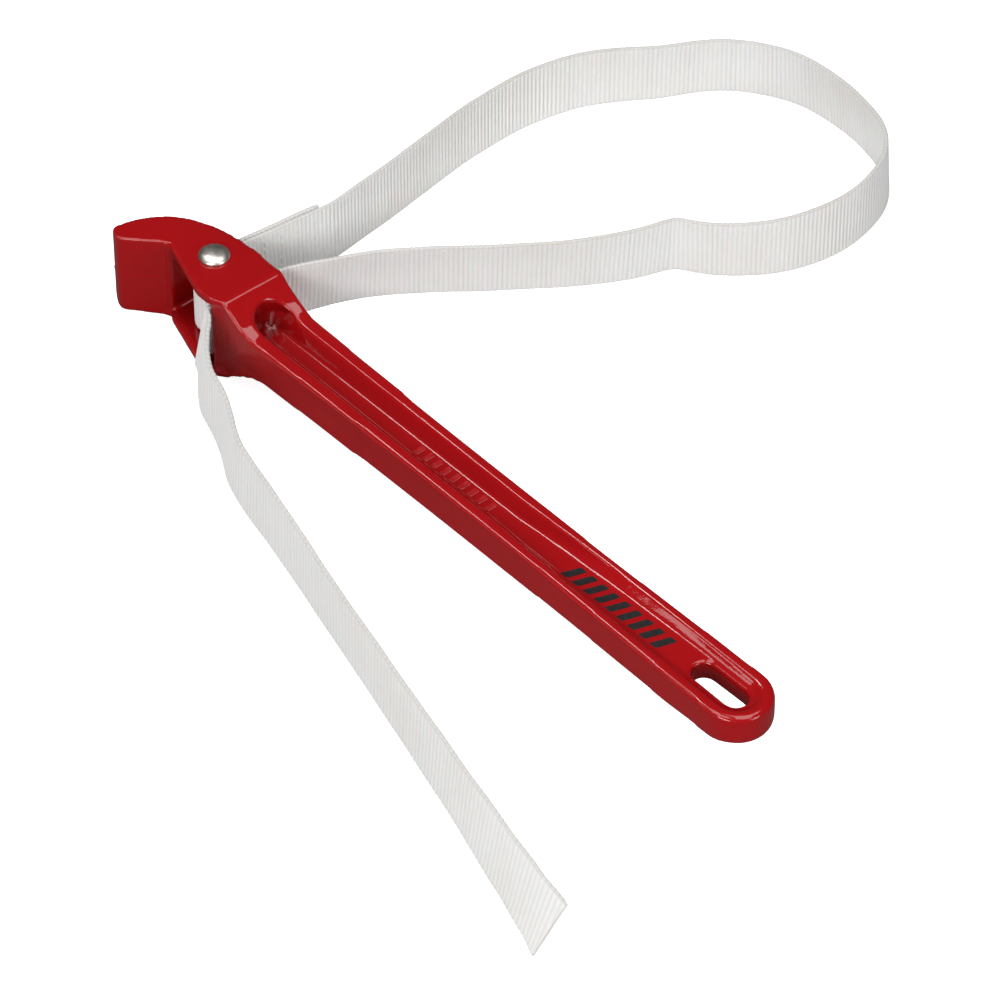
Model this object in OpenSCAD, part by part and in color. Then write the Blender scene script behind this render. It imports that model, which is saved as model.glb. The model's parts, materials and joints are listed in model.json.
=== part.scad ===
// Strap wrench for oil filters: a cast handle with a hooked head, and a webbing strap
// that hangs on a rivet in the head, makes a loop and leaves through the head's window.
//
// Origin: on the rivet's axis, level with the flat underside of the head.
// +X runs along the handle to its end, +Y is the side the loop lies on, +Z is up.
// The casting is the same above and below its middle plane.

/* [Head] */
// Height of the head, underside to top
head_h = 33; // [31:0.5:38]
// Thickness of each cheek, above and below the window
cheek_t = 3.4; // [2.5:0.1:3.8]
// How far the window reaches from the rivet towards the jaw
window_jaw_x = 15; // [13:0.5:18]
// How far the window reaches from the rivet towards the handle
window_neck_x = 15.8; // [15:0.1:17]

/* [Handle] */
// Length from the rivet to the end of the handle
handle_len = 268; // [250:1:290]
// Half width just behind the neck
neck_half_w = 11.4; // [11:0.1:12.5]
// Half width at the waist
waist_half_w = 10; // [9.5:0.1:11]
// Half width at the end, which is also the radius of the rounded end
end_half_w = 11.7; // [11:0.1:13]
// Half thickness just behind the neck
neck_half_t = 7.5; // [7:0.1:8.5]
// Half thickness at the end
end_half_t = 6; // [5.5:0.1:7]

/* [Recess] */
// Half width of the floor in the deep stretch behind the neck
floor_half_w = 2.8; // [2.5:0.1:4]
// Half width of the rim in the deep stretch
rim_half_w = 6.7; // [6:0.1:7.5]
// Half thickness of the web left under the deep stretch
web_half_t = 2.2; // [1.5:0.1:3]
// Half width of the floor in the grip
grip_floor_half_w = 5.6; // [4.5:0.1:6]
// Half width of the rim in the grip
grip_rim_half_w = 8.6; // [8:0.1:9.3]
// Half thickness of the web left under the grip's recess
grip_web_half_t = 3.8; // [3:0.1:4.5]

/* [Hang slot] */
// Length of the slot, end to end
slot_len = 22.5; // [18:0.5:26]
// Width of the slot
slot_w = 8; // [7:0.5:10]
// Distance from the end of the handle to the middle of the slot
slot_inset = 19.5; // [17:0.5:22]

/* [Rivet] */
// Diameter of the domed head
rivet_head_d = 10.9; // [9:0.1:12]
// Height of the dome
rivet_head_h = 2.5; // [1.5:0.1:3]
// Diameter of the shank
rivet_shank_d = 6; // [5:0.1:7]
// Diameter of the flush tail in the lower cheek
rivet_tail_d = 9; // [8.5:0.1:10]
// Diameter of the sleeve that the strap's eye turns on
sleeve_d = 10.8; // [9:0.1:11]

/* [Webbing] */
// Width of the strap
strap_w = 25; // [24:0.5:25.5]
// Thickness of one ply
strap_t = 1.8; // [1.4:0.1:1.9]
// Running gap at the rivet sleeve and at each bend
run_gap = 0.2; // [0.1:0.05:0.3]

/* [Strap path: each stretch is an arc, given by its length and by its turn to the left] */
// Length of the flap, which is sewn to the run, from its end to the rivet's sleeve
flap_len = 45.5; // [35:0.5:50]
// Length of the run from the end of the eye to its first bend
eye_len = 35.5; // [30:0.5:45]
// How far the eye is turned to the handle's side
eye_tilt = 6.5; // [5:0.1:8]
// Back run, lengths
back_len = [4, 53.5, 34]; // [4:0.5:60]
// Back run, turns
back_turn = [13, 2.3, -9.3]; // [-12:0.1:14]
// Back shoulder, length
shoulder_len = 47; // [40:0.5:55]
// Back shoulder, turn
shoulder_turn = -37.5; // [-40:0.5:-30]
// Crown, lengths
crown_len = [15, 55.5, 30.5, 27.5]; // [15:0.5:60]
// Crown, turns
crown_turn = [14, -63, -21, -50]; // [-65:0.5:15]
// Front bow, length
bow_len = 78; // [70:0.5:85]
// Front bow, turn
bow_turn = -80.5; // [-85:0.5:-75]
// Kink, lengths
kink_len = [7.5, 33]; // [5:0.5:35]
// Kink, turns
kink_turn = [43, -19.5]; // [-20:0.5:45]
// Front run, which goes through the window, lengths
front_len = [50.5, 81.5]; // [50:0.5:85]
// Front run, turns
front_turn = [-4, 44]; // [-5:0.5:45]
// Tail root, lengths
root_len = [1.5, 9.5, 24.5, 19]; // [1.5:0.5:30]
// Tail root, turns
root_turn = [56.5, -11.5, 22, -13.5]; // [-20:0.5:60]
// Tail middle, lengths
middle_len = [18.5, 50.5]; // [15:0.5:55]
// Tail middle, turns
middle_turn = [17.5, 0]; // [0:0.5:18]
// Tail end, length
tail_len = 171; // [60:1:175]
// Tail end, turn
tail_turn = -1.5; // [-3:0.5:3]

/* [Hidden] */
$fn = 64;

paint = "firebrick";
nickel = "silver";
webbing = "whitesmoke";
thread = "white";

mid_z = head_h / 2;
window_h = head_h - 2 * cheek_t;
// The slope between the head and the handle, and the stretch where the handle is straight
ridge_x = 19.3;
slope_end_x = 34;
straight_x = 40;
end_centre_x = handle_len - end_half_w;
// The recess: where its deep floor and the rim over it begin, then the ramp and the grip
deep_floor_x = 29.5;
deep_rim_x = 31.8;
ramp_x = 150;
grip_x = 198;
cut = 1;
// Gap around the rivet where it sits tight
fit_gap = 0.02;

// Points on an arc about [x, y], from angle a to angle b in degrees
function arc(x, y, r, a, b, steps = 12) =
    [for (i = [0:steps]) let (t = a + (b - a) * i / steps) [x + r * cos(t), y + r * sin(t)]];

// Value at x of the parabola through three half widths: neck, waist and end
function grip_half_w(x) =
    let (t = (x - straight_x) / (end_centre_x - straight_x))
    neck_half_w * (1 - t) * (1 - 2 * t) + 4 * waist_half_w * t * (1 - t)
    + end_half_w * t * (2 * t - 1);

// Half thickness of the handle at x
function grip_half_t(x) =
    neck_half_t + (end_half_t - neck_half_t) * (x - slope_end_x) / (handle_len - slope_end_x);

// ---------- Handle ----------

// Outline from above: the hooked head, the neck and the waisted handle
module handle_outline() {
    side_x = [for (i = [0:10]) straight_x + (end_centre_x - straight_x) * i / 10];
    back_of_head = concat(
        arc(-30.9, -14.8, 2.9, 235, 175, 6),
        arc(-5.7, -17.9, 28.2, 167, 118),
        arc(7.3, -61.6, 73.2, 107, 83),
        [[21, 11.9], [28, 12], [34, 11.6]]);
    front_of_head = [[33, -12], [27, -12.8], [21.5, -12.7], [18.8, -13], [15.9, -14.4],
                     [8.6, -14.3], [-15, -6.9], [-18, -8.9], [-25.6, -16.1]];
    polygon(concat(
        back_of_head,
        [for (x = side_x) [x, grip_half_w(x)]],
        arc(end_centre_x, 0, end_half_w, 80, -80, 24),
        [for (i = [10:-1:0]) [side_x[i], -grip_half_w(side_x[i])]],
        front_of_head,
        arc(-29, -16.1, 2.2, 300, 250, 4)));
}

// Outline from the side: full height at the head, then a slope down to the tapered handle
module side_profile() {
    upper = [[-40, mid_z], [ridge_x, mid_z], [ridge_x + 1.2, mid_z - 0.3], [24, 13.6], [29, 10.4],
             [slope_end_x, 8.2], [slope_end_x + 3, grip_half_t(slope_end_x + 3) + 0.1],
             [slope_end_x + 6, grip_half_t(slope_end_x + 6)], [handle_len, end_half_t]];
    lower = [for (i = [len(upper) - 1:-1:0]) [upper[i].x, -upper[i].y]];
    polygon(concat(upper, lower));
}

// One recess in the top face: a deep stretch, a ramp up to the grip, and the shallow grip
module top_recess() {
    stations = [
        // x of the floor, x of the rim, floor half width, rim half width, web half thickness
        [deep_floor_x, deep_rim_x, floor_half_w, rim_half_w, web_half_t],
        [ramp_x, ramp_x, floor_half_w + 0.4, rim_half_w + 0.2, web_half_t],
        [grip_x, grip_x, grip_floor_half_w - 1.2, grip_rim_half_w, grip_web_half_t],
        [end_centre_x, end_centre_x, grip_floor_half_w, grip_rim_half_w, grip_web_half_t]];
    for (i = [0:2]) hull() {
        recess_section(stations[i]);
        recess_section(stations[i + 1]);
    }
}

// The round floor, and the rim widening to above the casting, at one end of a stretch
module recess_section(s) {
    rim = grip_half_t(s[1]) + 0.2;
    above = mid_z + cut;
    flare = (above - rim) * 0.06;
    translate([s[0], 0, s[4]]) cylinder(r = s[2], h = 0.2, $fn = 32);
    translate([s[1], 0, rim]) cylinder(r1 = s[3], r2 = s[3] + flare, h = above - rim, $fn = 32);
}

module hang_slot() {
    x = handle_len - slot_inset;
    reach = (slot_len - slot_w) / 2;
    for (side = [-1, 1]) translate([x + side * reach, 0, 0])
        cylinder(d = slot_w, h = head_h, center = true);
    translate([x - reach, -slot_w / 2, -mid_z]) cube([2 * reach, slot_w, head_h]);
}

module handle() {
    window_len = window_jaw_x + window_neck_x;
    color(paint) translate([0, 0, mid_z]) difference() {
        intersection() {
            linear_extrude(height = head_h, center = true) handle_outline();
            rotate([90, 0, 0]) linear_extrude(height = 60, center = true) side_profile();
        }
        // the window that the strap passes through
        translate([-window_jaw_x, -30, -window_h / 2]) cube([window_len, 60, window_h]);
        top_recess();
        mirror([0, 0, 1]) top_recess();
        hang_slot();
        // the rivet's hole, countersunk below
        cylinder(d = rivet_shank_d + 2 * fit_gap, h = head_h + 2 * cut, center = true);
        translate([0, 0, -mid_z]) rivet_tail(fit_gap);
        translate([0, 0, -mid_z - cut]) cylinder(d = rivet_tail_d + 2 * fit_gap, h = cut);
    }
}

// ---------- Rivet and sleeve ----------

// The flared tail that fills the lower cheek's countersink, or with a gap the countersink
module rivet_tail(gap = 0) {
    depth = (rivet_tail_d - rivet_shank_d) / 2;
    cylinder(d1 = rivet_tail_d + 2 * gap, d2 = rivet_shank_d + 2 * gap, h = depth);
}

module rivet() {
    dome_r = (pow(rivet_head_d / 2, 2) + pow(rivet_head_h, 2)) / (2 * rivet_head_h);
    color(nickel) {
        cylinder(d = rivet_shank_d, h = head_h + 0.1);
        rivet_tail();
        translate([0, 0, head_h]) intersection() {
            cylinder(d = rivet_head_d, h = rivet_head_h);
            translate([0, 0, rivet_head_h - dome_r]) sphere(r = dome_r);
        }
    }
}

module spacer_sleeve() {
    color(nickel) translate([0, 0, cheek_t]) difference() {
        cylinder(d = sleeve_d, h = window_h);
        translate([0, 0, -cut])
            cylinder(d = rivet_shank_d + 2 * fit_gap, h = window_h + 2 * cut);
    }
}

// ---------- Strap ----------

// A place on the strap is [x, y, heading]. The place after a stretch [length, turn]:
function after(p, s) =
    let (chord = abs(s[1]) < 0.01 ? s[0] : s[0] * sin(s[1] / 2) / (s[1] / 2 * PI / 180))
    [p.x + chord * cos(p.z + s[1] / 2), p.y + chord * sin(p.z + s[1] / 2), p.z + s[1]];

// The place after all stretches of a list
function after_all(p, list, i = 0) =
    i == len(list) ? p : after_all(after(p, list[i]), list, i + 1);

// The first n stretches of a list
function first(list, n) = [for (i = [0:1:n - 1]) list[i]];

// Places along a list of stretches, no more than about 5 degrees or 20 mm apart
function places(p, list) =
    concat([p], [for (i = [0:len(list) - 1])
        let (start = after_all(p, first(list, i)),
             steps = ceil(max(abs(list[i][1]) / 5, list[i][0] / 20)))
        for (k = [1:steps]) after(start, list[i] * k / steps)]);

// The point beside a place, d to the left of its heading
function beside(p, d) = [p.x - d * sin(p.z), p.y + d * cos(p.z)];

// Stretches made from lists of lengths and turns
function stretches(lengths, turns) = [for (i = [0:len(lengths) - 1]) [lengths[i], turns[i]]];

back = stretches(back_len, back_turn);
shoulder = [[shoulder_len, shoulder_turn]];
crown = stretches(crown_len, crown_turn);
bow = [[bow_len, bow_turn]];
kink = stretches(kink_len, kink_turn);
front = stretches(front_len, front_turn);
tail_root = stretches(root_len, root_turn);
tail_middle = stretches(middle_len, middle_turn);
tail_end = [[tail_len, tail_turn]];

// The eye: the flap comes straight down at a tangent to the sleeve and goes round it. A small
// arc of fork_r then leads the run up beside the flap.
eye_r = sleeve_d / 2 + run_gap + strap_t / 2;
ply_pitch = strap_t + 0.1;
fork_r = 6;
fork_x = ply_pitch - eye_r + fork_r;
fork_y = sqrt(pow(eye_r + fork_r, 2) - pow(fork_x, 2));
fork_turn = atan2(fork_y, fork_x);
function arc_len(r, turn) = r * turn * PI / 180;
eye_path = [
    [flap_len, 0],
    [arc_len(eye_r, 180 + fork_turn), 180 + fork_turn],
    [arc_len(fork_r, fork_turn), -fork_turn],
    [eye_len, 0]];

// Where each part of the strap begins, which is also where its joint is
eye_at = [flap_len * sin(eye_tilt) - eye_r * cos(eye_tilt),
          flap_len * cos(eye_tilt) + eye_r * sin(eye_tilt), -90 - eye_tilt];
back_at = after_all(eye_at, eye_path);
shoulder_at = after_all(back_at, back);
crown_at = after_all(shoulder_at, shoulder);
bow_at = after_all(crown_at, crown);
kink_at = after_all(bow_at, bow);
front_at = after_all(kink_at, kink);
root_at = after_all(front_at, front);
middle_at = after_all(root_at, tail_root);
end_at = after_all(middle_at, tail_middle);

strap_z = (head_h - strap_w) / 2;
// The bead at a joint stands just proud of the webbing, so that their faces cross
bead_d = strap_t + 0.04;

// A length of webbing on edge. It ends in a round bead on the next joint's axis, and begins
// in a hollow that clears the bead before it.
module webbing_run(start, list, bead = true, hollow = true) {
    line = places(start, list);
    last = line[len(line) - 1];
    left = [for (p = line) beside(p, strap_t / 2)];
    right = [for (i = [len(line) - 1:-1:0]) beside(line[i], -strap_t / 2)];
    color(webbing) translate([0, 0, strap_z]) difference() {
        union() {
            linear_extrude(height = strap_w) polygon(concat(left, right));
            if (bead) translate([last.x, last.y, 0]) cylinder(d = bead_d, h = strap_w);
        }
        if (hollow) translate([start.x, start.y, -cut])
            cylinder(d = strap_t + 2 * run_gap, h = strap_w + 2 * cut);
    }
}

module strap_eye() { webbing_run(eye_at, eye_path, hollow = false); }
module strap_back_run() { webbing_run(back_at, back); }
module strap_shoulder() { webbing_run(shoulder_at, shoulder); }
module strap_crown() { webbing_run(crown_at, crown); }
module strap_front_bow() { webbing_run(bow_at, bow); }
module strap_kink() { webbing_run(kink_at, kink); }
module strap_front_run() { webbing_run(front_at, front); }
module strap_tail_root() { webbing_run(root_at, tail_root); }
module strap_tail_middle() { webbing_run(middle_at, tail_middle); }
module strap_tail_end() { webbing_run(end_at, tail_end, bead = false); }

// ---------- Stitching ----------

// One stitch as it lies on the webbing: half a round thread
module stitch(length, thread_r) {
    difference() {
        cylinder(r = thread_r, h = length, $fn = 24);
        translate([-2 * thread_r, -2 * thread_r, -cut])
            cube([2 * thread_r, 4 * thread_r, length + 2 * cut]);
    }
}

// Rows of stitches across the lap, on both of its faces
module stitching() {
    thread_r = 0.35;
    stitch_len = 2.8;
    pitch = 3.5;
    per_row = floor((strap_w - 2) / pitch);
    rows = 5;
    first_y = fork_y + 3;
    row_pitch = (flap_len - 3.5 - first_y) / (rows - 1);
    // from the middle of the lap to its faces
    lap_x = ply_pitch / 2 - eye_r;
    face = ply_pitch / 2 + strap_t / 2 + 0.01;
    color(thread) rotate([0, 0, -eye_tilt])
        for (row = [0:rows - 1], i = [0:per_row - 1], side = [0, 1])
            translate([lap_x, first_y + row * row_pitch, mid_z + (i - per_row / 2) * pitch])
                mirror([side, 0, 0]) translate([face, 0, 0]) stitch(stitch_len, thread_r);
}

handle();
rivet();
spacer_sleeve();
strap_eye();
strap_back_run();
strap_shoulder();
strap_crown();
strap_front_bow();
strap_kink();
strap_front_run();
strap_tail_root();
strap_tail_middle();
strap_tail_end();
stitching();
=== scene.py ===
"""Looks of the strap wrench: a glossy red casting, a bright rivet and white woven webbing.

Lengths are in millimetres until MM turns them into metres. The strap's line is read from the
CAD nodes, so it follows the frame; only its weave, lean, belly and ends are added here.
"""

import json
import math

import bmesh
import bpy
import numpy as np
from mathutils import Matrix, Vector
from mathutils.bvhtree import BVHTree


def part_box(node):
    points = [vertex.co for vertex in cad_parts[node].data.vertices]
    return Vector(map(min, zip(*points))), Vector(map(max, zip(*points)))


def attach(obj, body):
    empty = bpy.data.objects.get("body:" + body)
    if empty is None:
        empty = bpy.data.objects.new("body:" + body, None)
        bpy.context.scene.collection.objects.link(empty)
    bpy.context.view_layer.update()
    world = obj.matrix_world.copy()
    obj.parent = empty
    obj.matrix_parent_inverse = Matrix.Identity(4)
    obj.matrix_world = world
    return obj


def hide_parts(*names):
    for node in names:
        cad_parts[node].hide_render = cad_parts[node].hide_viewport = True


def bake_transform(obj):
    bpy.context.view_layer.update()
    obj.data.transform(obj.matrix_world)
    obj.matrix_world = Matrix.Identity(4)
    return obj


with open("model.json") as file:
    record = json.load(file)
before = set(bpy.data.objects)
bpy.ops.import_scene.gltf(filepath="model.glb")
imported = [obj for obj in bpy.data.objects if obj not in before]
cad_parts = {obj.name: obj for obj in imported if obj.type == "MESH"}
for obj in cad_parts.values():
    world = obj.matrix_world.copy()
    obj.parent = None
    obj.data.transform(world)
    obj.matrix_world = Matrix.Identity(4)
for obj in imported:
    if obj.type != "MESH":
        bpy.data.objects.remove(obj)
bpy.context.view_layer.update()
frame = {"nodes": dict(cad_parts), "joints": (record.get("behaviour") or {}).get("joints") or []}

MM = 0.001
# Points nearer than this are taken to be one point, in millimetres
WELD = 0.001
JOINT_AT = {j["name"]: np.array(j["pos_m"]) / MM for j in frame["joints"]}


def box_mm(node):
    """Lowest and highest corner of a CAD node, in millimetres."""
    low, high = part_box(node)
    return np.array(low) / MM, np.array(high) / MM


def fade(value, start, reach):
    """0 up to start, then rising evenly to 1 over the reach."""
    return np.clip((value - start) / reach, 0, 1)


# ---------- Materials ----------

class Nodes:
    """A short way to build a node material."""

    def __init__(self, name):
        self.material = bpy.data.materials.new(name)
        self.material.use_nodes = True
        self.tree = self.material.node_tree
        self.shader = self.tree.nodes["Principled BSDF"]

    def add(self, kind, **settings):
        """A new node, with its properties and inputs set by name."""
        node = self.tree.nodes.new("ShaderNode" + kind)
        for key, value in settings.items():
            if hasattr(node, key):
                setattr(node, key, value)
            else:
                node.inputs[key.replace("_", " ")].default_value = value
        return node

    def link(self, source, target):
        self.tree.links.new(source, target)

    def set(self, **inputs):
        """Fixed values for the main shader's inputs."""
        for key, value in inputs.items():
            self.shader.inputs[key.replace("_", " ")].default_value = value

    def to_shader(self, source, name):
        self.link(source, self.shader.inputs[name])

    def math(self, operation, *values):
        """The result of one operation on numbers or sockets."""
        node = self.add("Math", operation=operation)
        for socket, value in zip(node.inputs, values):
            if isinstance(value, (int, float)):
                socket.default_value = value
            else:
                self.link(value, socket)
        return node.outputs[0]

    def mix_shaders(self, share, first, second):
        """The first shader where share is 0, and the second where it is 1."""
        node = self.add("MixShader")
        for socket, source in zip(node.inputs, (share, first, second)):
            self.link(source, socket)
        return node.outputs[0]

    def multiplied(self, first, second):
        """One colour darkened by another."""
        node = self.add("Mix", data_type="RGBA", blend_type="MULTIPLY")
        node.inputs["Factor"].default_value = 1.0
        self.link(first, node.inputs["A"])
        self.link(second, node.inputs["B"])
        return node.outputs["Result"]

    def noise(self, scale, detail=3.0, roughness=0.5):
        """Noise over the object's own coordinates, with scale in waves per metre."""
        coords = self.add("TexCoord")
        node = self.add("TexNoise", Scale=scale, Detail=detail, Roughness=roughness)
        self.link(coords.outputs["Object"], node.inputs["Vector"])
        return node.outputs["Fac"]

    def ramp(self, source, stops):
        """Colour by value, from a list of (position, colour)."""
        node = self.add("ValToRGB")
        elements = node.color_ramp.elements
        while len(elements) < len(stops):
            elements.new(0.5)
        for element, (position, colour) in zip(elements, stops):
            element.position = position
            element.color = (*colour, 1.0)
        self.link(source, node.inputs["Fac"])
        return node.outputs["Color"]

    def bump(self, height, distance, strength=1.0, below=None):
        """Bump from a height, in millimetres at a height of 1."""
        node = self.add("Bump", Strength=strength, Distance=distance * MM)
        self.link(height, node.inputs["Height"])
        if below is not None:
            self.link(below, node.inputs["Normal"])
        return node.outputs["Normal"]


def red_paint():
    """Thick gloss paint on a casting: a faint orange peel, a painted highlight of paler colour
    and scuffed gloss in patches on the edges, and painted shade that darkens the hollows."""
    m = Nodes("red_gloss_paint")
    m.set(Roughness=0.5, Specular_IOR_Level=0.05, Coat_Weight=1.0, Coat_Roughness=0.045, Coat_IOR=1.5)
    geometry = m.add("NewGeometry")
    body = m.ramp(m.noise(45.0, 4.0), [(0.3, (0.350, 0.0016, 0.0034)), (0.7, (0.375, 0.0022, 0.0042))])
    edge = m.ramp(geometry.outputs["Pointiness"], [(0.52, (0.0, 0.0, 0.0)), (0.60, (1.0, 1.0, 1.0))])
    edge_patches = m.ramp(m.noise(520.0, 5.0, 0.65), [(0.42, (0.25, 0.25, 0.25)), (0.62, (1.0, 1.0, 1.0))])
    edge_highlight_and_scuff = m.math("MULTIPLY", edge, edge_patches)
    # painted highlight: the edges are mixed towards a paler pink, in patches
    mix = m.add("Mix", data_type="RGBA", blend_type="MIX")
    m.link(m.math("MULTIPLY", edge_highlight_and_scuff, 0.55), mix.inputs["Factor"])
    m.link(body, mix.inputs["A"])
    mix.inputs["B"].default_value = (0.62, 0.085, 0.095, 1.0)
    # painted shade: ambient occlusion darkens the paint in the window, the recess and other hollows
    hollow = m.add("AmbientOcclusion", samples=8, only_local=True, Distance=30.0 * MM)
    painted_shade = m.ramp(hollow.outputs["AO"], [(0.28, (0.15, 0.11, 0.11)), (0.80, (1.0, 1.0, 1.0))])
    m.to_shader(m.multiplied(mix.outputs["Result"], painted_shade), "Base Color")
    m.to_shader(m.math("MULTIPLY_ADD", edge_highlight_and_scuff, -0.8, 1.0), "Coat Weight")
    cast = m.bump(m.noise(240.0, 2.0), 0.035)
    peel = m.bump(m.noise(1500.0, 2.0), 0.008, below=cast)
    m.to_shader(cast, "Normal")
    m.to_shader(peel, "Coat Normal")
    return m.material


def bright_metal(name, colour, roughness, turned):
    """Plated metal with faint turning marks about the Z axis, and soft blotches."""
    m = Nodes(name)
    m.set(Metallic=1.0, Roughness=roughness)
    coords = m.add("TexCoord")
    rings = m.add("TexWave", wave_type="RINGS", rings_direction="Z", Scale=turned, Distortion=1.5)
    m.link(coords.outputs["Object"], rings.inputs["Vector"])
    blotch = m.noise(420.0, 5.0)
    darker = tuple(0.80 * c for c in colour)
    m.to_shader(m.ramp(blotch, [(0.25, darker), (0.7, colour)]), "Base Color")
    m.to_shader(m.math("MULTIPLY_ADD", blotch, 0.14, roughness - 0.05), "Roughness")
    m.to_shader(m.bump(rings.outputs["Fac"], 0.006), "Normal")
    return m.material


def woven_white():
    """White webbing: rounded ribs across, crossed by fine warp yarns. The mesh carries the
    place on the strap as weave = (mm along, mm across, height of the rib)."""
    m = Nodes("white_woven_webbing")
    m.set(Roughness=0.74, Sheen_Weight=0.35, Sheen_Roughness=0.45, IOR=1.45)
    m.set(Subsurface_Weight=0.12, Subsurface_Scale=0.8 * MM)
    place = m.add("Attribute", attribute_name="weave")
    split = m.add("SeparateXYZ")
    m.link(place.outputs["Vector"], split.inputs[0])
    along, across, rib = split.outputs
    warp_wave = m.math("SINE", m.math("MULTIPLY", across, 2 * math.pi / WARP_PITCH))
    warp = m.math("ABSOLUTE", warp_wave)
    fibre_place = m.add("CombineXYZ")
    m.link(m.math("MULTIPLY", along, 0.9), fibre_place.inputs[0])
    m.link(m.math("MULTIPLY", across, 5.0), fibre_place.inputs[1])
    fibres = m.add("TexNoise", Scale=1.0, Detail=4.0, Roughness=0.6)
    m.link(fibre_place.outputs[0], fibres.inputs["Vector"])
    # painted shade: the colour is darker in the grooves between the ribs, with lighter lines on the warp
    # yarns and a random tone from the fibres
    shade = m.math("ADD", m.math("MULTIPLY", rib, 0.72), m.math("MULTIPLY", warp, 0.16))
    shade = m.math("ADD", shade, m.math("MULTIPLY", fibres.outputs["Fac"], 0.20))
    groove_shaded_tone = m.ramp(shade, [(0.05, (0.60, 0.59, 0.575)), (0.40, (0.86, 0.85, 0.835)),
                          (0.90, (0.95, 0.945, 0.935))])
    soil = m.ramp(m.noise(24.0, 3.0), [(0.35, (0.965, 0.955, 0.935)), (0.6, (1.0, 1.0, 1.0))])
    share = m.math("DIVIDE", m.math("ABSOLUTE", across), STRAP_W / 2)
    selvage = m.ramp(share, [(0.93, (1.0, 1.0, 1.0)), (0.97, (0.70, 0.69, 0.68))])
    m.to_shader(m.multiplied(m.multiplied(groove_shaded_tone, soil), selvage), "Base Color")
    yarn = m.bump(warp, 0.10, 0.7)
    m.to_shader(m.bump(fibres.outputs["Fac"], 0.06, 0.6, below=yarn), "Normal")
    return m.material


def white_thread():
    """Sewing thread: a fine twist on white polyester."""
    m = Nodes("white_sewing_thread")
    m.set(Roughness=0.6, Sheen_Weight=0.4, Sheen_Roughness=0.4)
    coords = m.add("TexCoord")
    twist = m.add("TexWave", wave_type="BANDS", bands_direction="DIAGONAL", Scale=900.0)
    m.link(coords.outputs["Object"], twist.inputs["Vector"])
    m.to_shader(m.ramp(twist.outputs["Fac"], [(0.0, (0.72, 0.71, 0.69)), (0.6, (0.90, 0.89, 0.88))]),
                "Base Color")
    m.to_shader(m.bump(twist.outputs["Fac"], 0.04), "Normal")
    return m.material


def black_print():
    """Satin black printing ink, slightly uneven."""
    m = Nodes("black_printing_ink")
    m.to_shader(m.ramp(m.noise(700.0, 4.0), [(0.3, (0.010, 0.010, 0.011)), (0.75, (0.022, 0.022, 0.023))]),
                "Base Color")
    m.set(Roughness=0.5, Specular_IOR_Level=0.25)
    m.to_shader(m.bump(m.noise(1500.0, 2.0), 0.01), "Normal")
    return m.material


def pale_floor():
    """A pale matt floor that glows white to the camera. It is made darker in reflections and in
    the light it throws back, which keeps the paint's colour deep."""
    m = Nodes("pale_floor")
    m.set(Base_Color=(0.90, 0.90, 0.90, 1.0), Roughness=1.0, Specular_IOR_Level=0.0)
    m.set(Emission_Color=(1.0, 1.0, 1.0, 1.0), Emission_Strength=0.9)
    path = m.add("LightPath")
    bounce = m.add("BsdfDiffuse", Color=(0.60, 0.60, 0.60, 1.0))
    mirrored = m.add("BsdfDiffuse", Color=(0.11, 0.11, 0.11, 1.0))
    shade = m.mix_shaders(path.outputs["Is Glossy Ray"], bounce.outputs[0], mirrored.outputs[0])
    shade = m.mix_shaders(path.outputs["Is Camera Ray"], shade, m.shader.outputs[0])
    m.link(shade, m.tree.nodes["Material Output"].inputs["Surface"])
    return m.material


# ---------- Meshes ----------

def make_piece(name, verts_mm, faces, material, smooth=True):
    """A new mesh object from points in millimetres."""
    mesh = bpy.data.meshes.new(name)
    mesh.from_pydata([tuple(v) for v in np.asarray(verts_mm) * MM], [], faces)
    mesh.update()
    mesh.polygons.foreach_set("use_smooth", [smooth] * len(mesh.polygons))
    mesh.materials.append(material)
    piece = bpy.data.objects.new(name, mesh)
    bpy.context.scene.collection.objects.link(piece)
    return piece


def weld(mesh, face_out=False):
    """Joins points that lie in one place, and turns the faces outwards where that is asked."""
    bm = bmesh.new()
    bm.from_mesh(mesh)
    bmesh.ops.remove_doubles(bm, verts=bm.verts, dist=WELD * MM)
    if face_out:
        bmesh.ops.recalc_face_normals(bm, faces=bm.faces)
    bm.to_mesh(mesh)
    bm.free()


def read(items, name, width, kind=float):
    """One row of values for each vertex or edge of a mesh."""
    values = np.zeros(len(items) * width, kind)
    items.foreach_get(name, values)
    return values.reshape(-1, width)


def place_points(mesh, co):
    """Moves the mesh's points to these places, in millimetres."""
    mesh.vertices.foreach_set("co", (co * MM).ravel())
    mesh.update()


def sharpen_caps(piece, faces):
    """Keeps the shading of flat end faces away from the sides they meet."""
    mesh = piece.data
    for index in faces:
        mesh.polygons[index].use_smooth = False
    edges = {key for index in faces for key in mesh.polygons[index].edge_keys}
    for edge in mesh.edges:
        if edge.key in edges:
            edge.use_edge_sharp = True


def lathe(name, profile, material, segments=96):
    """A round piece about the Z axis, from a closed profile of (radius, height)."""
    verts, faces = [], []
    for k in range(segments):
        angle = 2 * math.pi * k / segments
        verts += [(r * math.cos(angle), r * math.sin(angle), z) for r, z in profile]
    count = len(profile)
    for k in range(segments):
        for i in range(count):
            j = (i + 1) % count
            a, b = k * count, ((k + 1) % segments) * count
            faces.append((a + i, b + i, b + j, a + j))
    piece = make_piece(name, verts, faces, material)
    weld(piece.data, face_out=True)
    return piece


# ---------- Casting ----------

VOXEL = 0.55
MID_Z = box_mm("handle")[1][2] / 2
HANDLE_END = box_mm("handle")[1][0]
# Along the handle: where the jaw meets the head, and where the head gives way to the grip
JAW_X = -17.0
GRIP_X = 22.0
# Radius of the grip's round end, and half the length and height of the head's window
TIP_R = 11.7
WINDOW_X, WINDOW_Z = 16.6, 13.6
# Height and half width of the mould's parting line
PARTING_H, PARTING_W = 0.2, 0.5


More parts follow.
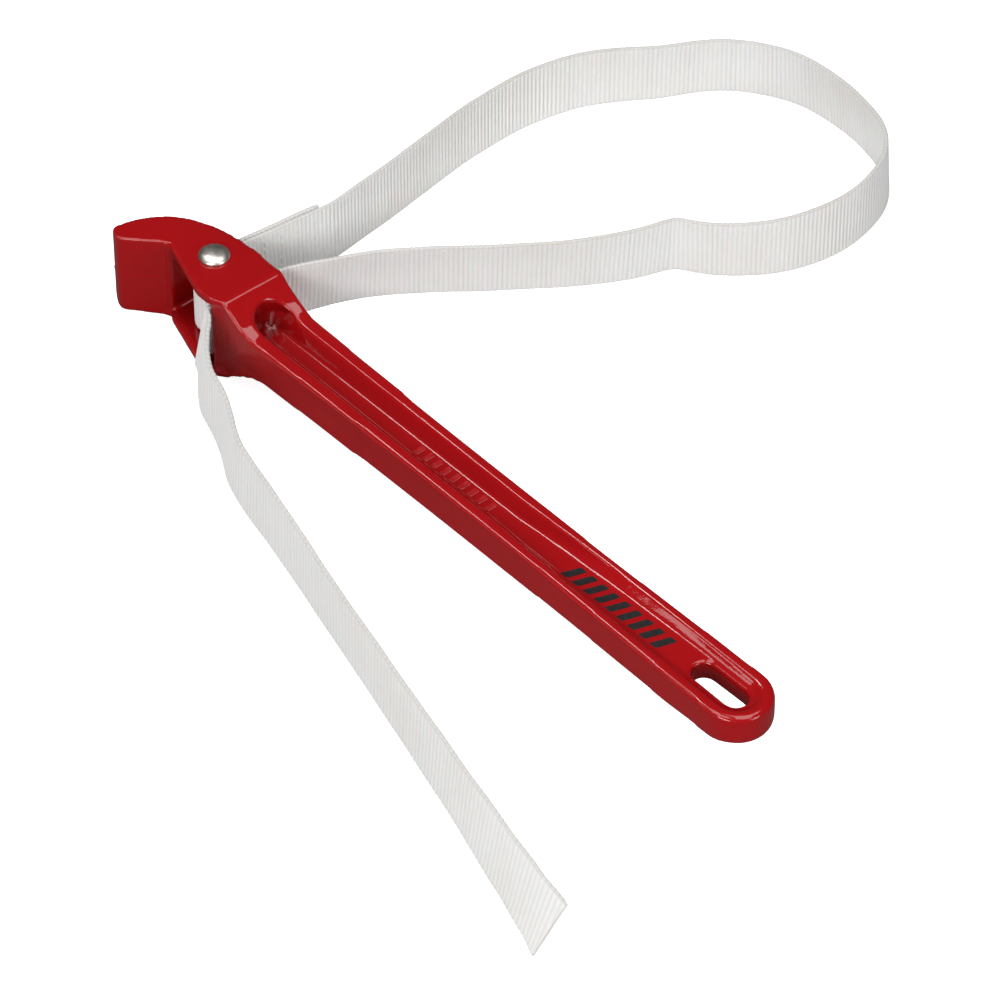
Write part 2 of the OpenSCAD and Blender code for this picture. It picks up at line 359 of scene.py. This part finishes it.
def casting(material):
    """The CAD handle with cast edges: rounded all over, more so towards the grip's end,
    with the mould's parting line round its middle."""
    piece = remeshed("handle_casting", frame["nodes"]["handle"])
    mesh = piece.data
    co = round_off(read(mesh.vertices, "co", 3) / MM, read(mesh.edges, "vertices", 2, int))
    place_points(mesh, co)
    normals = read(mesh.vertices, "normal", 3)
    co += (restored(co) * outward(co, normals))[:, None] * normals * (1, 1, 0)
    ridge = PARTING_H * np.exp(-((co[:, 2] - MID_Z) / PARTING_W) ** 2) * outer_wall(co, normals)
    co += ridge[:, None] * normals
    place_points(mesh, co)
    mesh.materials.clear()
    mesh.materials.append(material)
    mesh.polygons.foreach_set("use_smooth", [True] * len(mesh.polygons))
    mesh.polygons.foreach_set("material_index", [0] * len(mesh.polygons))
    return piece


def remeshed(name, source):
    """A copy of a CAD node, made of small even faces."""
    mesh = source.data.copy()
    weld(mesh)
    piece = bpy.data.objects.new(name, mesh)
    bpy.context.scene.collection.objects.link(piece)
    remesh = piece.modifiers.new("remesh", "REMESH")
    remesh.mode = "VOXEL"
    remesh.voxel_size = VOXEL * MM
    bpy.context.view_layer.update()
    shown = piece.evaluated_get(bpy.context.evaluated_depsgraph_get())
    piece.data = bpy.data.meshes.new_from_object(shown)
    piece.modifiers.clear()
    return piece


def round_off(co, edges):
    """Laplacian rounding. The top of the head and the handle keep crisp edges, the underside
    of the jaw is softer, and the grip's end is round."""
    x, z = co[:, 0], co[:, 2]
    end = fade(x, HANDLE_END - 40.0, 36.0) ** 1.5
    jaw = fade(-x, 18.0, 8.0) * fade(-z, -6.0, 4.0)
    under = fade(x, HANDLE_END - 30.0, 20.0) * (z < MID_Z - 3)
    passes = 6 + 18 * end + 40 * jaw + 20 * under
    count = np.bincount(edges.ravel(), minlength=len(co)).astype(float)[:, None]
    for step in range(int(passes.max())):
        total = np.zeros_like(co)
        for axis in range(3):
            total[:, axis] = (np.bincount(edges[:, 0], co[edges[:, 1], axis], len(co))
                              + np.bincount(edges[:, 1], co[edges[:, 0], axis], len(co)))
        share = 0.5 * np.clip(passes - step, 0, 1)
        co = co + share[:, None] * (total / count - co)
    return co


def restored(co):
    """How much metal, in millimetres, to give back to the sides. It is least on the jaw, and
    most on the back of the head and on the near edge of the lower cheek and the grip."""
    x, y, z = co.T
    head = fade(x, JAW_X, 5.0) * fade(-x, -24.0, 6.0)
    grip = fade(x, 24.0, 10.0)
    near, far = fade(-y, 0.0, 4.0), fade(y, 0.0, 4.0)
    low = fade(MID_Z - z, 5.0, 4.0)
    cheek = fade(-z, -4.0, 1.5)
    given = np.where(x < JAW_X, 0.1, 0.3) + 0.8 * head * far
    given = given + (0.15 + 0.5 * low) * near * grip
    return given + 1.2 * head * near * cheek


def outward(co, normals):
    """How far each point faces outwards and sideways, which is where rounding took metal off."""
    x, z = co[:, 0], co[:, 2]
    sideways = np.hypot(normals[:, 0], normals[:, 1])
    spine = np.column_stack([np.clip(x, GRIP_X - 2.0, HANDLE_END - TIP_R), np.zeros(len(co))])
    away = co[:, :2] - spine
    away /= np.linalg.norm(away, axis=1)[:, None] + 1e-9
    on_grip = np.clip((away * normals[:, :2]).sum(1), 0, 1)
    window = (np.abs(x) < WINDOW_X) & (np.abs(z - MID_Z) < WINDOW_Z)
    return np.where(x > GRIP_X, on_grip, np.where(window, 0.0, sideways))


def outer_wall(co, normals):
    """1 on the upright outer walls of the jaw, fading out before the window and the neck."""
    upright = fade(-np.abs(normals[:, 2]), -0.35, 0.2)
    return upright * fade(-co[:, 0], 15.0, 2.0)


# ---------- Marks on the casting ----------

def surface_of(piece):
    """A function that gives the height of the piece's upper surface, in millimetres."""
    mesh = piece.data
    tree = BVHTree.FromPolygons([v.co for v in mesh.vertices], [p.vertices for p in mesh.polygons])

    above = 0.1

    def height(x, y):
        hit = tree.ray_cast(Vector((x * MM, y * MM, above)), Vector((0, 0, -1)))
        return hit[0].z / MM
    return height


def bars(name, outlines, height, bevel, surface, material):
    """Raised or printed bars that follow the surface. Each outline is a ring of (x, y)."""
    sunk = 0.15
    verts, faces = [], []
    for outline in outlines:
        outline = np.array(outline)
        middle = outline.mean(0)
        inner = outline + (middle - outline) * (bevel / np.linalg.norm(middle - outline, axis=1))[:, None]
        base, n = len(verts), len(outline)
        for ring, lift in ((outline, -sunk), (outline, height - bevel), (inner, height)):
            verts += [(x, y, surface(x, y) + lift) for x, y in ring]
        verts.append((*middle, surface(*middle) + height))
        for k in range(n):
            m = (k + 1) % n
            for ring in (0, 1):
                a, b = base + ring * n, base + (ring + 1) * n
                faces.append((a + k, a + m, b + m, b + k))
            faces.append((base + 2 * n + k, base + 2 * n + m, base + 3 * n))
        faces.append(tuple(base + k for k in reversed(range(n))))
    return make_piece(name, verts, faces, material, smooth=False)


def rounded_bar(x, y, length, width, slant=0.0, corner=0.5, steps=4):
    """Outline of a bar that stands across the handle: length along Y, width along X."""
    ring = []
    for sx, sy, start in ((1, 1, 0), (-1, 1, 90), (-1, -1, 180), (1, -1, 270)):
        for k in range(steps + 1):
            t = math.radians(start + 90 * k / steps)
            dy = sy * (length / 2 - corner) + corner * math.sin(t)
            dx = sx * (width / 2 - corner) + corner * math.cos(t)
            ring.append((x + dx + slant * dy, y + dy))
    return ring


# ---------- Rivet and sleeve ----------

def rivet(material):
    """A domed head with a small upright rim, a plain shank and the flush tail."""
    low, high = box_mm("rivet")
    head_r = high[0]
    head_z = box_mm("handle")[1][2]
    rim = 0.35
    shank_r = 3.0
    tail_r = 4.5
    tail_depth = tail_r - shank_r
    dome = [(head_r * math.sin(t), head_z + rim + (high[2] - head_z - rim) * math.cos(t))
            for t in np.linspace(0, math.pi / 2, 24)]
    return lathe("rivet_domed", [(0, low[2] + 0.02), (tail_r - 0.15, low[2] + 0.02),
                                 (tail_r, low[2] + 0.15), (shank_r, low[2] + tail_depth),
                                 (shank_r, head_z + 0.03), (head_r - 0.1, head_z + 0.03)]
                 + dome[::-1], material)


def sleeve(material):
    """The spacer the strap's eye turns on, with broken edges."""
    low, high = box_mm("spacer_sleeve")
    outer, inner, chamfer = high[0], 3.02, 0.4
    return lathe("sleeve_turned", [(inner, low[2]), (outer - chamfer, low[2]), (outer, low[2] + chamfer),
                                   (outer, high[2] - chamfer), (outer - chamfer, high[2]),
                                   (inner, high[2])], material)


# ---------- Strap ----------

STRAP_T = 1.8
STRAP_W = box_mm("strap_crown")[1][2] - box_mm("strap_crown")[0][2]
RIB_DEPTH = 0.26
# The weft's pitch on the loop and on the tail, and the warp's
LOOP_RIB = 1.65
TAIL_RIB = 2.3
WARP_PITCH = 1.6
# Distance between the rings of points along the webbing
WEB_STEP = 0.28
# CAD points nearer to a hinge than this belong to the bead on it
BEAD_REACH = 1.5
# Each bend is spread this far to both sides of its hinge
LAP_CUT = 10.0
# The selvage stands out by this much at each rib
SELVAGE_WAVE = 0.15
# How much further the upper corner of the tail's end reaches, and over what length it slants
TAIL_SLANT = 4.5
SLANT_REACH = 14.0
RUNS = ["strap_eye", "strap_back_run", "strap_shoulder", "strap_crown", "strap_front_bow",
        "strap_kink", "strap_front_run", "strap_tail_root", "strap_tail_middle", "strap_tail_end"]
HINGES = ["back_run_bend", "shoulder_bend", "crown_bend", "bow_bend", "kink_bend",
          "front_run_bend", "tail_root_bend", "tail_swing", "tail_curl"]


def middle_points(node):
    """Points halfway between the two faces of a strap node, read from its upper outline."""
    top = box_mm(node)[1][2]
    co = np.array([v.co for v in frame["nodes"][node].data.vertices]) / MM
    outline = np.unique(np.round(co[np.abs(co[:, 2] - top) < 0.01, :2], 3), axis=0)
    apart = np.linalg.norm(outline[:, None] - outline[None], axis=2)
    a, b = np.nonzero(np.triu(np.abs(apart - STRAP_T) < 0.01))
    return np.unique(np.round((outline[a] + outline[b]) / 2, 2), axis=0)


def in_order(points, start, heading):
    """The points one after another along the strap, from a place and a heading. The next one
    is near and lies ahead, and the line ends where it would have to turn back."""
    turn_cost, sharpest = 60, math.radians(60)
    place, line, left = np.array(start), [], [np.array(p) for p in points]
    while left:
        steps = np.array(left) - place
        far = np.linalg.norm(steps, axis=1) + 1e-9
        turn = np.arccos(np.clip(steps @ heading / far, -1, 1))
        best = int(np.argmin(far * (1 + turn_cost * turn ** 2)))
        if turn[best] > sharpest:
            break
        heading = steps[best] / far[best]
        place = left.pop(best)
        line.append(place)
    return line


def strap_line():
    """The strap's middle line as points, and the distance along it at each hinge."""
    hinge_at = [JOINT_AT[name][:2] for name in HINGES]
    eye = middle_points("strap_eye")
    eye = eye[np.linalg.norm(eye - hinge_at[0], axis=1) > BEAD_REACH]
    start = eye[np.argmax(eye[:, 1])]
    line = [start]
    ends = hinge_at + [None]
    hinge_index = []
    for node, begin, end in zip(RUNS, [start] + hinge_at, ends):
        points = middle_points(node)
        keep = np.linalg.norm(points - begin, axis=1) > BEAD_REACH
        if end is not None:
            keep &= np.linalg.norm(points - end, axis=1) > BEAD_REACH
        # the flap runs straight down to the eye's outermost point
        heading = eye[np.argmin(eye[:, 0])] - start if node == "strap_eye" else line[-1] - line[-2]
        line += in_order(points[keep], begin, heading / np.linalg.norm(heading))
        if end is not None:
            hinge_index.append(len(line))
            line.append(end)
    line = np.array(line)
    gone = np.concatenate([[0], np.cumsum(np.linalg.norm(np.diff(line, axis=0), axis=1))])
    return line, gone, gone[hinge_index]


LINE, GONE, HINGE_S = strap_line()
STRAP_LEN = GONE[-1]


def smooth_line():
    """Slopes for a cubic through the middle line's points."""
    step = np.diff(GONE)
    slope = np.diff(LINE, axis=0) / step[:, None]
    inner = ((slope[:-1] * step[1:, None] + slope[1:] * step[:-1, None])
             / (step[:-1] + step[1:])[:, None])
    return np.vstack([slope[:1], inner, slope[-1:]])


SLOPES = smooth_line()


def along(s):
    """Places and unit headings at distances s along the strap."""
    s = np.asarray(s, float)
    i = np.clip(np.searchsorted(GONE, s, side="right") - 1, 0, len(GONE) - 2)
    h = (GONE[i + 1] - GONE[i])[:, None]
    t = np.clip((s - GONE[i])[:, None] / h, 0, 1)
    p0, p1, m0, m1 = LINE[i], LINE[i + 1], SLOPES[i] * h, SLOPES[i + 1] * h
    place = ((2 * t**3 - 3 * t**2 + 1) * p0 + (t**3 - 2 * t**2 + t) * m0
             + (-2 * t**3 + 3 * t**2) * p1 + (t**3 - t**2) * m1)
    head = ((6 * t**2 - 6 * t) * p0 + (3 * t**2 - 4 * t + 1) * m0
            + (-6 * t**2 + 6 * t) * p1 + (3 * t**2 - 2 * t) * m1)
    return place, head / np.linalg.norm(head, axis=1)[:, None]


def hinge_s(name):
    """Distance along the strap at a hinge."""
    return HINGE_S[HINGES.index(name)]


# How far the webbing leans from upright, in degrees: its upper edge moves to the left of its
# heading where the lean is positive. Each entry is (hinge, distance past it, lean).
LEAN = [("back_run_bend", -60, 0), ("shoulder_bend", 0, 0),
        ("crown_bend", 40, -6), ("crown_bend", 85, -6), ("bow_bend", 20, 0), ("kink_bend", 0, 6),
        ("front_run_bend", 15, 12), ("front_run_bend", 75, 12), ("front_run_bend", 105, 5),
        ("tail_root_bend", -6, 9), ("tail_root_bend", 2, 10), ("tail_root_bend", 8, 8.5),
        ("tail_root_bend", 14, 7.5), ("tail_root_bend", 22, 6.5), ("tail_root_bend", 33, 3),
        ("tail_root_bend", 46, 5), ("tail_swing", 2, 5.5), ("tail_swing", 16, 3),
        ("tail_curl", -20, 1.5), ("tail_curl", 20, 0.5), ("tail_curl", 60, 2),
        ("tail_curl", 98, 4.5), ("tail_curl", 136, 10), ("tail_curl", 155, 14.5),
        ("tail_curl", 171, 22)]

# How far the webbing bellies out to the left of its line, in millimetres, in the same form
BELLY = [("tail_root_bend", -12, 0), ("tail_root_bend", 0, 0.6), ("tail_root_bend", 5, 1.2),
         ("tail_root_bend", 12, 0.7), ("tail_root_bend", 26, 0), ("tail_curl", -20, 0),
         ("tail_curl", 30, -0.7)]


def eased(table, s):
    """The value at s, eased between the entries of LEAN or BELLY."""
    at = np.array([hinge_s(name) + past for name, past, _ in table])
    value = np.array([entry[2] for entry in table], float)
    i = np.clip(np.searchsorted(at, s, side="right") - 1, 0, len(at) - 2)
    t = np.clip((s - at[i]) / (at[i + 1] - at[i]), 0, 1)
    t = t * t * (3 - 2 * t)
    return value[i] * (1 - t) + value[i + 1] * t


# The weft's pitch along the strap, and the ribs counted up from its start. It grows coarser
# over 10 mm where the strap passes through the window.
GRID_STEP = 0.5
RIB_GRID = np.arange(0, STRAP_LEN + GRID_STEP, GRID_STEP)
ON_TAIL = fade(RIB_GRID, hinge_s("tail_root_bend") - 12, 10)
RIB_PITCH = LOOP_RIB + (TAIL_RIB - LOOP_RIB) * ON_TAIL
RIB_COUNT = np.concatenate([[0], np.cumsum(GRID_STEP / RIB_PITCH[:-1])])


def ribs_to(s):
    """How many ribs there are up to s."""
    return np.interp(s, RIB_GRID, RIB_COUNT)


def rib_height(s):
    """1 on a rib's crest and 0 in the groove beside it."""
    return np.abs(np.sin(math.pi * ribs_to(s))) ** 0.8


def at_groove(s):
    """The groove nearest to s, where two pieces can meet unseen."""
    return float(np.interp(round(float(ribs_to(s))), RIB_COUNT, RIB_GRID))


# Places across the webbing, from its lower to its upper edge, as shares of the half width
ACROSS = np.array([-1, -0.993, -0.975, -0.94, -0.88, -0.76, -0.6, -0.4, -0.2, 0,
                   0.2, 0.4, 0.6, 0.76, 0.88, 0.94, 0.975, 0.993, 1])


def edge_round(share):
    """Share of the full thickness left near the selvage."""
    past = fade(np.abs(share), 0.94, 0.06)
    return np.sqrt(1 - (0.97 * past) ** 2)


def pressed(s, cut):
    """Share of the thickness that the hot knife left near a cut."""
    return 1 - 0.35 * np.exp(-((s - cut) / 1.3) ** 2)


def webbing(name, begin, end, material, cut_begin=False, cut_end=False, slant=0.0):
    """A closed length of webbing between two distances along the strap. A cut end is pressed
    thin by the hot knife, and slant is how much further its upper corner reaches."""
    steps = max(8, int(round((end - begin) / WEB_STEP)))
    s = np.linspace(begin, end, steps + 1)
    verts, weave = [], []
    # the selvages wander up and down a little
    wobble = 0.12 * np.sin(s / 9.7 + 1.3) + 0.08 * np.sin(s / 4.1)
    ring_share = np.concatenate([ACROSS, ACROSS[-2:0:-1]])
    ring_side = np.concatenate([np.ones(len(ACROSS)), -np.ones(len(ACROSS) - 2)])
    ring_side[0] = ring_side[len(ACROSS) - 1] = 0
    for k, share in enumerate(ring_share):
        here = s - fade(s, end - SLANT_REACH, SLANT_REACH) * slant * (1 - share) / 2
        place, head = along(here)
        left = np.stack([-head[:, 1], head[:, 0]], axis=1)
        rib = rib_height(here)
        press = np.ones_like(s)
        if cut_end:
            press *= pressed(s, end)
        if cut_begin:
            press *= pressed(s, begin)
        half_w = STRAP_W / 2 - SELVAGE_WAVE + SELVAGE_WAVE * rib
        half_t = (STRAP_T / 2 - RIB_DEPTH * (1 - rib)) * edge_round(share) * press
        lean = np.radians(eased(LEAN, here))
        w = share * half_w
        side = ring_side[k] * half_t
        out = w * np.sin(lean) + side * np.cos(lean)
        up = w * np.cos(lean) - side * np.sin(lean)
        xy = place + left * (out + eased(BELLY, here))[:, None]
        verts.append(np.column_stack([xy, MID_Z + up + wobble * abs(share)]))
        weave.append(np.column_stack([here, w, rib]))
    ring = len(ring_share)
    verts = np.array(verts).transpose(1, 0, 2).reshape(-1, 3)
    weave = np.array(weave).transpose(1, 0, 2).reshape(-1, 3)
    faces = []
    for i in range(steps):
        for k in range(ring):
            n = (k + 1) % ring
            faces.append((i * ring + k, (i + 1) * ring + k, (i + 1) * ring + n, i * ring + n))
    caps = [len(faces), len(faces) + 1]
    faces.append(tuple(range(ring)))
    faces.append(tuple(steps * ring + k for k in reversed(range(ring))))
    piece = make_piece(name, verts, faces, material)
    store = piece.data.attributes.new("weave", "FLOAT_VECTOR", "POINT")
    store.data.foreach_set("vector", weave.astype(np.float32).ravel())
    sharpen_caps(piece, caps)
    return piece


def strap(material):
    """The webbing as one length per hinge. Each bends across its hinge, and they meet in the
    grooves at the middle of the stiff lengths."""
    first_cut = at_groove(HINGE_S[0] - LAP_CUT)
    cuts = [first_cut] + [at_groove((a + b) / 2) for a, b in zip(HINGE_S[:-1], HINGE_S[1:])]
    cuts.append(STRAP_LEN)
    start = webbing("strap_eye_lap", 0.0, first_cut, material, cut_begin=True)
    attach(start, "strap_eye")
    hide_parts("strap_eye")
    for k, name in enumerate(HINGES):
        last = k == len(HINGES) - 1
        piece = webbing("webbing_" + name, cuts[k], cuts[k + 1], material,
                        cut_end=last, slant=TAIL_SLANT if last else 0.0)
        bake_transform(piece)
        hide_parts(RUNS[k + 1])


# ---------- Stitching ----------

def lap_frame():
    """The middle of the lap at the flap's end, the way up the lap, and the way to the run."""
    up = (LINE[0] - LINE[1]) / np.linalg.norm(LINE[0] - LINE[1])
    side = np.array([up[1], -up[0]])
    pitch = (JOINT_AT["back_run_bend"][:2] - LINE[0]) @ side
    return LINE[0] + side * pitch / 2, up, side


def stitches(material):
    """Rows of thread across the lap. Each stitch comes out of the webbing, lies on it and
    goes back in, over the place of the CAD node's own stitch."""
    middle, up, side = lap_frame()
    bm = bmesh.new()
    bm.from_mesh(frame["nodes"]["stitching"].data)
    bmesh.ops.remove_doubles(bm, verts=bm.verts, dist=WELD * MM)
    seen, verts, faces = set(), [], []
    for seed in bm.verts:
        if seed in seen:
            continue
        island, stack = [], [seed]
        seen.add(seed)
        while stack:
            v = stack.pop()
            island.append(v.co)
            for e in v.link_edges:
                o = e.other_vert(v)
                if o not in seen:
                    seen.add(o)
                    stack.append(o)
        co = np.array(island) / MM
        flat = co[:, :2] - middle
        local = np.column_stack([flat @ side, flat @ up, co[:, 2]])
        add_stitch(verts, faces, local.min(0), local.max(0))
    bm.free()
    verts = np.array(verts)
    flat = middle + verts[:, :1] * side + verts[:, 1:2] * up
    return make_piece("lap_stitches", np.column_stack([flat, verts[:, 2]]), faces, material)


def add_stitch(verts, faces, low, high, segments=10, sides=10):
    """One arched thread in the box of a CAD stitch, in the lap's frame."""
    slimmer, sunk, arch, past_end = 0.8, 0.75, 0.80, 0.1
    out = 1.0 if low[0] + high[0] > 0 else -1.0
    radius = (high[1] - low[1]) / 2 * slimmer
    face = min(abs(low[0]), abs(high[0]))
    y = (low[1] + high[1]) / 2
    base = len(verts)
    for i in range(segments + 1):
        t = i / segments
        z = low[2] - past_end + (high[2] - low[2] + 2 * past_end) * t
        lift = face - sunk + arch * math.sin(math.pi * t) ** 0.35
        for k in range(sides):
            angle = 2 * math.pi * k / sides
            verts.append((out * (lift + radius * math.cos(angle)), y + out * radius * math.sin(angle), z))
    for i in range(segments):
        for k in range(sides):
            n = (k + 1) % sides
            faces.append((base + i * sides + k, base + i * sides + n,
                          base + (i + 1) * sides + n, base + (i + 1) * sides + k))
    faces.append(tuple(base + k for k in reversed(range(sides))))
    faces.append(tuple(base + segments * sides + k for k in range(sides)))


# ---------- Build ----------

paint = red_paint()
nickel = bright_metal("nickel_plate", (0.92, 0.86, 0.80), 0.33, 900.0)
plate = bright_metal("zinc_plate", (0.62, 0.62, 0.60), 0.36, 500.0)
cloth = woven_white()
thread = white_thread()
ink = black_print()

handle_piece = casting(paint)
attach(handle_piece, "root")
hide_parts("handle")

# Plain bars stand in for the printed and the raised marks
MARKS = 9
PRINT_X, PRINT_PITCH = 181.0, 5.3
DASH_X, DASH_PITCH = 105.0, 4.4

on_top = surface_of(handle_piece)
print_bars = [rounded_bar(PRINT_X + PRINT_PITCH * k, -1.0, 7.0, 3.0, slant=0.35) for k in range(MARKS)]
print_piece = bars("grip_print", print_bars, 0.04, 0.01, on_top, ink)
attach(print_piece, "root")
dashes = [rounded_bar(DASH_X + DASH_PITCH * k, -0.2, 4.4, 2.2) for k in range(MARKS)]
raised_piece = bars("raised_dashes", dashes, 0.45, 0.25, on_top, paint)
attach(raised_piece, "root")

rivet_piece = rivet(nickel)
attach(rivet_piece, "root")
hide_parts("rivet")

sleeve_piece = sleeve(plate)
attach(sleeve_piece, "root")
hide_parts("spacer_sleeve")

strap(cloth)

stitch_piece = stitches(thread)
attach(stitch_piece, "strap_eye")
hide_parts("stitching")


# ---------- Stage ----------

# The photograph's viewing angle in degrees, and its distance and target in metres
VIEW_AZIMUTH = 48.93
VIEW_ELEVATION = 43.49
VIEW_DISTANCE = 1.9481
VIEW_TARGET = Vector((0.13789, 0.00572, 0.0165))
LENS = 217.9


def toward(azimuth, elevation):
    """Unit vector from the object to a viewer at this azimuth and elevation, in degrees."""
    a, e = math.radians(azimuth), math.radians(elevation)
    return Vector((math.sin(a) * math.cos(e), -math.cos(a) * math.cos(e), math.sin(e)))


def camera():
    """The camera at the photograph's viewing angle."""
    data = bpy.data.cameras.new("camera")
    data.lens = LENS
    data.sensor_width = 36.0
    data.clip_end = 20.0
    cam = bpy.data.objects.new("camera", data)
    bpy.context.scene.collection.objects.link(cam)
    back = toward(VIEW_AZIMUTH, VIEW_ELEVATION)
    cam.location = VIEW_TARGET + back * VIEW_DISTANCE
    cam.rotation_mode = "QUATERNION"
    cam.rotation_quaternion = (-back).to_track_quat("-Z", "Y")
    bpy.context.scene.camera = cam


def soft_light(name, azimuth, elevation, distance, size, power):
    """A rectangular white lamp that faces the view's target. Distance and size are in metres,
    and power is in watts."""
    data = bpy.data.lights.new(name, "AREA")
    data.shape = "RECTANGLE"
    data.size, data.size_y = size
    data.energy = power
    lamp = bpy.data.objects.new(name, data)
    bpy.context.scene.collection.objects.link(lamp)
    back = toward(azimuth, elevation)
    lamp.location = VIEW_TARGET + back * distance
    lamp.rotation_mode = "QUATERNION"
    lamp.rotation_quaternion = (-back).to_track_quat("-Z", "Y")


def studio():
    """The floor, a dim white room and six lamps."""
    half = 3.0 / MM
    below = -0.2
    corners = [(-half, -half, below), (half, -half, below), (half, half, below), (-half, half, below)]
    floor = make_piece("floor", corners, [(0, 1, 2, 3)], pale_floor())
    world = bpy.data.worlds.new("dim_room")
    world.use_nodes = True
    background = world.node_tree.nodes["Background"]
    background.inputs["Color"].default_value = (1.0, 1.0, 1.0, 1.0)
    background.inputs["Strength"].default_value = 0.06
    bpy.context.scene.world = world
    soft_light("overhead_left", VIEW_AZIMUTH - 90, 76.0, 1.25, (0.9, 0.5), 5.0)
    soft_light("overhead_right", VIEW_AZIMUTH + 90, 76.0, 1.25, (0.9, 0.5), 5.0)
    soft_light("left_high", 280.0, 57.0, 1.5, (0.27, 0.27), 2.5)
    soft_light("left_low", 320.5, 46.5, 1.42, (0.12, 0.14), 0.2)
    soft_light("camera_side", 20.0, 30.0, 1.7, (0.9, 0.6), 15.2)
    soft_light("right", 100.0, 25.0, 1.5, (0.6, 0.6), 6.5)
    bpy.context.scene.view_settings.view_transform = "Standard"


camera()
studio()
